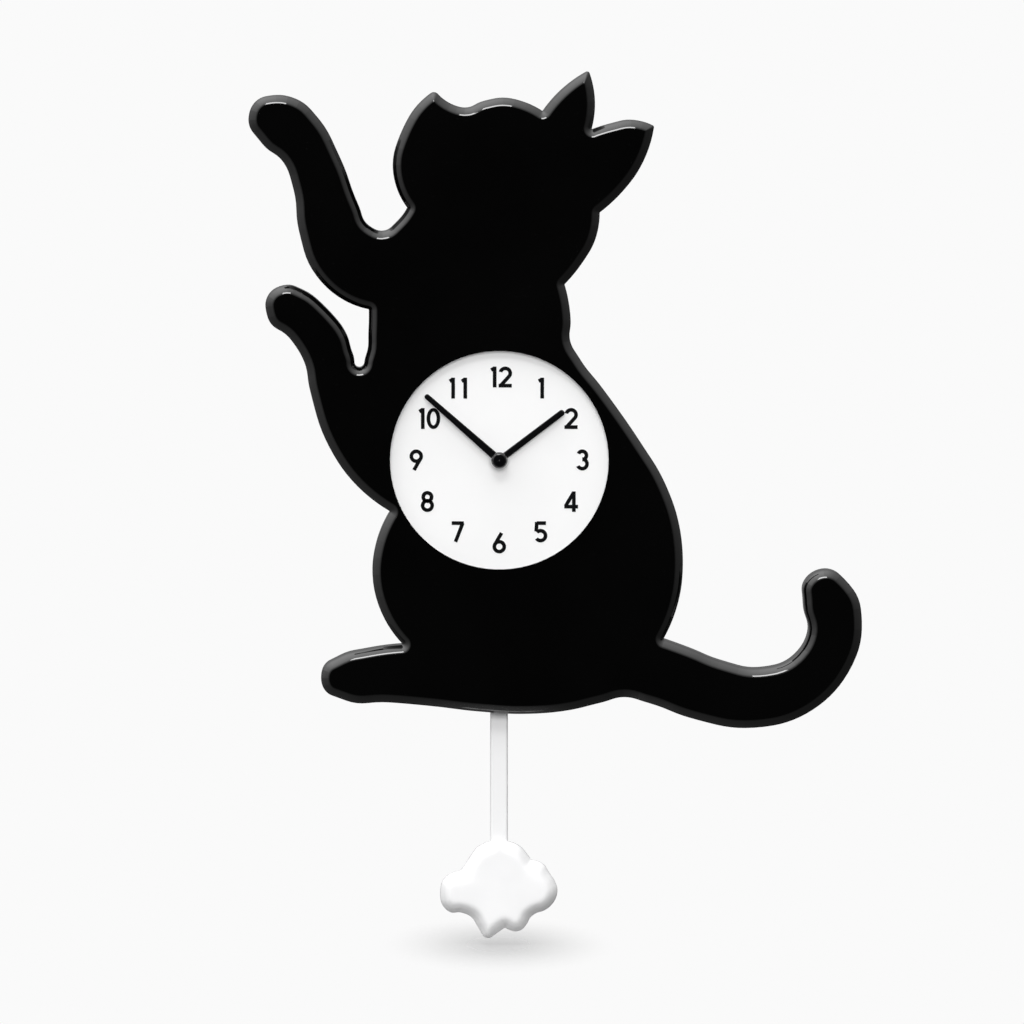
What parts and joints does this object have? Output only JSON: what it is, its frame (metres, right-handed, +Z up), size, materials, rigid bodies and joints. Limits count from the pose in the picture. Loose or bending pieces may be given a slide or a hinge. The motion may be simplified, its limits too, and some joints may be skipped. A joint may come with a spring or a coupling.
{
  "type": "pendulum wall clock",
  "caption": "Battery wall clock in a glossy cat silhouette case with a round dial and a cloud-shaped pendulum that swings below.",
  "frame": {"origin": "seat of the wall hanger, at the top of the keyhole's slot in the back plane", "axes": "+Z up, -Y to the front, the wall is the plane Y = 0, +X to the viewer's right"},
  "size_m": [0.2824, 0.0279, 0.3997],
  "materials": {
    "case_black": "polished",
    "cover_black": "satin",
    "screw_steel": "zinc plated",
    "dial_white": "satin",
    "numeral_ink": "printed",
    "hand_black": "satin lacquer",
    "cap_black": "polished",
    "movement_black": "moulded",
    "inner_white": "moulded",
    "gear_yellow": "moulded",
    "gear_white": "moulded",
    "shaft_brass": "turned",
    "silicon_steel": "rolled",
    "magnet_dark": "sintered",
    "copper_wire": "enamelled copper",
    "board_green": "solder mask",
    "chip_black": "potted",
    "crystal_can": "nickel plated",
    "contact_nickel": "nickel plated",
    "battery_sleeve": "film sleeve",
    "pendulum_white": "polished"
  },
  "bodies": {
    "clock_case": {"cat_shell": "case_black", "back_cover": "cover_black", "back_cover_screws": "screw_steel", "hanger_plate": "screw_steel", "hanger_screws": "screw_steel", "dial_plate": "dial_white", "dial_screws": "screw_steel", "dial_numerals": "numeral_ink", "movement_case": "movement_black", "movement_cover": "movement_black", "movement_screws": "screw_steel", "gear_bridge": "inner_white", "stator": "silicon_steel", "coil_core": "silicon_steel", "coil_bobbin": "inner_white", "coil_winding": "copper_wire", "circuit_board": "board_green", "timing_chip": "chip_black", "quartz_crystal": "crystal_can", "battery_contact_positive": "contact_nickel", "battery_contact_negative": "contact_nickel", "pendulum_coil_bobbin": "inner_white", "pendulum_coil_winding": "copper_wire", "pendulum_pivot": "screw_steel"},
    "minute_hand_set": {"minute_arbor": "shaft_brass", "minute_hand": "hand_black", "hand_cap": "cap_black"},
    "hour_hand_set": {"hour_wheel": "gear_yellow", "hour_hand": "hand_black"},
    "minute_work": {"minute_work_wheel": "gear_white"},
    "setting_set": {"setting_arbor": "gear_white", "setting_knob": "cover_black"},
    "rotor": {"rotor_pinion": "gear_white", "rotor_magnet": "magnet_dark"},
    "intermediate": {"intermediate_wheel": "gear_yellow"},
    "seconds": {"seconds_wheel": "gear_white"},
    "third": {"third_wheel": "gear_yellow"},
    "centre": {"centre_wheel": "gear_white"},
    "pendulum": {"pendulum_lever": "inner_white", "pendulum_magnet": "magnet_dark", "pendulum_rod": "pendulum_white", "pendulum_bob": "pendulum_white"},
    "battery_cell": {"battery": "battery_sleeve"}
  },
  "joints": [
    {"name": "minute_hand_turn", "type": "hinge", "parent": "clock_case", "child": "minute_hand_set", "pos_m": [-0.003, -0.012, -0.069], "axis": [0, 1, 0], "continuous": true},
    {"name": "hour_hand_turn", "type": "hinge", "parent": "clock_case", "child": "hour_hand_set", "pos_m": [-0.003, -0.012, -0.069], "axis": [0, 1, 0], "continuous": true},
    {"name": "minute_work_turn", "type": "hinge", "parent": "clock_case", "child": "minute_work", "pos_m": [0.00435, -0.012, -0.06283], "axis": [0, 1, 0], "continuous": true},
    {"name": "setting_knob_turn", "type": "hinge", "parent": "clock_case", "child": "setting_set", "pos_m": [0.01171, -0.012, -0.05666], "axis": [0, 1, 0], "continuous": true},
    {"name": "rotor_turn", "type": "hinge", "parent": "clock_case", "child": "rotor", "pos_m": [0.01381, -0.012, -0.07257], "axis": [0, 1, 0], "continuous": true},
    {"name": "intermediate_wheel_turn", "type": "hinge", "parent": "clock_case", "child": "intermediate", "pos_m": [0.00681, -0.012, -0.07257], "axis": [0, 1, 0], "continuous": true},
    {"name": "seconds_wheel_turn", "type": "hinge", "parent": "clock_case", "child": "seconds", "pos_m": [-0.003, -0.012, -0.069], "axis": [0, 1, 0], "continuous": true},
    {"name": "third_wheel_turn", "type": "hinge", "parent": "clock_case", "child": "third", "pos_m": [-0.01183, -0.012, -0.0639], "axis": [0, 1, 0], "continuous": true},
    {"name": "centre_wheel_turn", "type": "hinge", "parent": "clock_case", "child": "centre", "pos_m": [-0.003, -0.012, -0.069], "axis": [0, 1, 0], "continuous": true},
    {"name": "pendulum_swing", "type": "hinge", "parent": "clock_case", "child": "pendulum", "pos_m": [-0.003, -0.012, -0.102], "axis": [0, 1, 0], "range_deg": [-8, 8]},
    {"name": "battery_out", "type": "slide", "parent": "clock_case", "child": "battery_cell", "axis": [0, 1, 0], "range_m": [0, 0.02]}
  ],
  "couplings": [
    {"joint": "hour_hand_turn", "follows": "minute_hand_turn", "ratio": 0.083333},
    {"joint": "minute_work_turn", "follows": "minute_hand_turn", "ratio": -0.33333},
    {"joint": "setting_knob_turn", "follows": "minute_hand_turn", "ratio": 1},
    {"joint": "intermediate_wheel_turn", "follows": "rotor_turn", "ratio": -0.16667},
    {"joint": "seconds_wheel_turn", "follows": "rotor_turn", "ratio": 0.033333},
    {"joint": "third_wheel_turn", "follows": "rotor_turn", "ratio": -0.0044444},
    {"joint": "centre_wheel_turn", "follows": "rotor_turn", "ratio": 0.00055556}
  ]
}
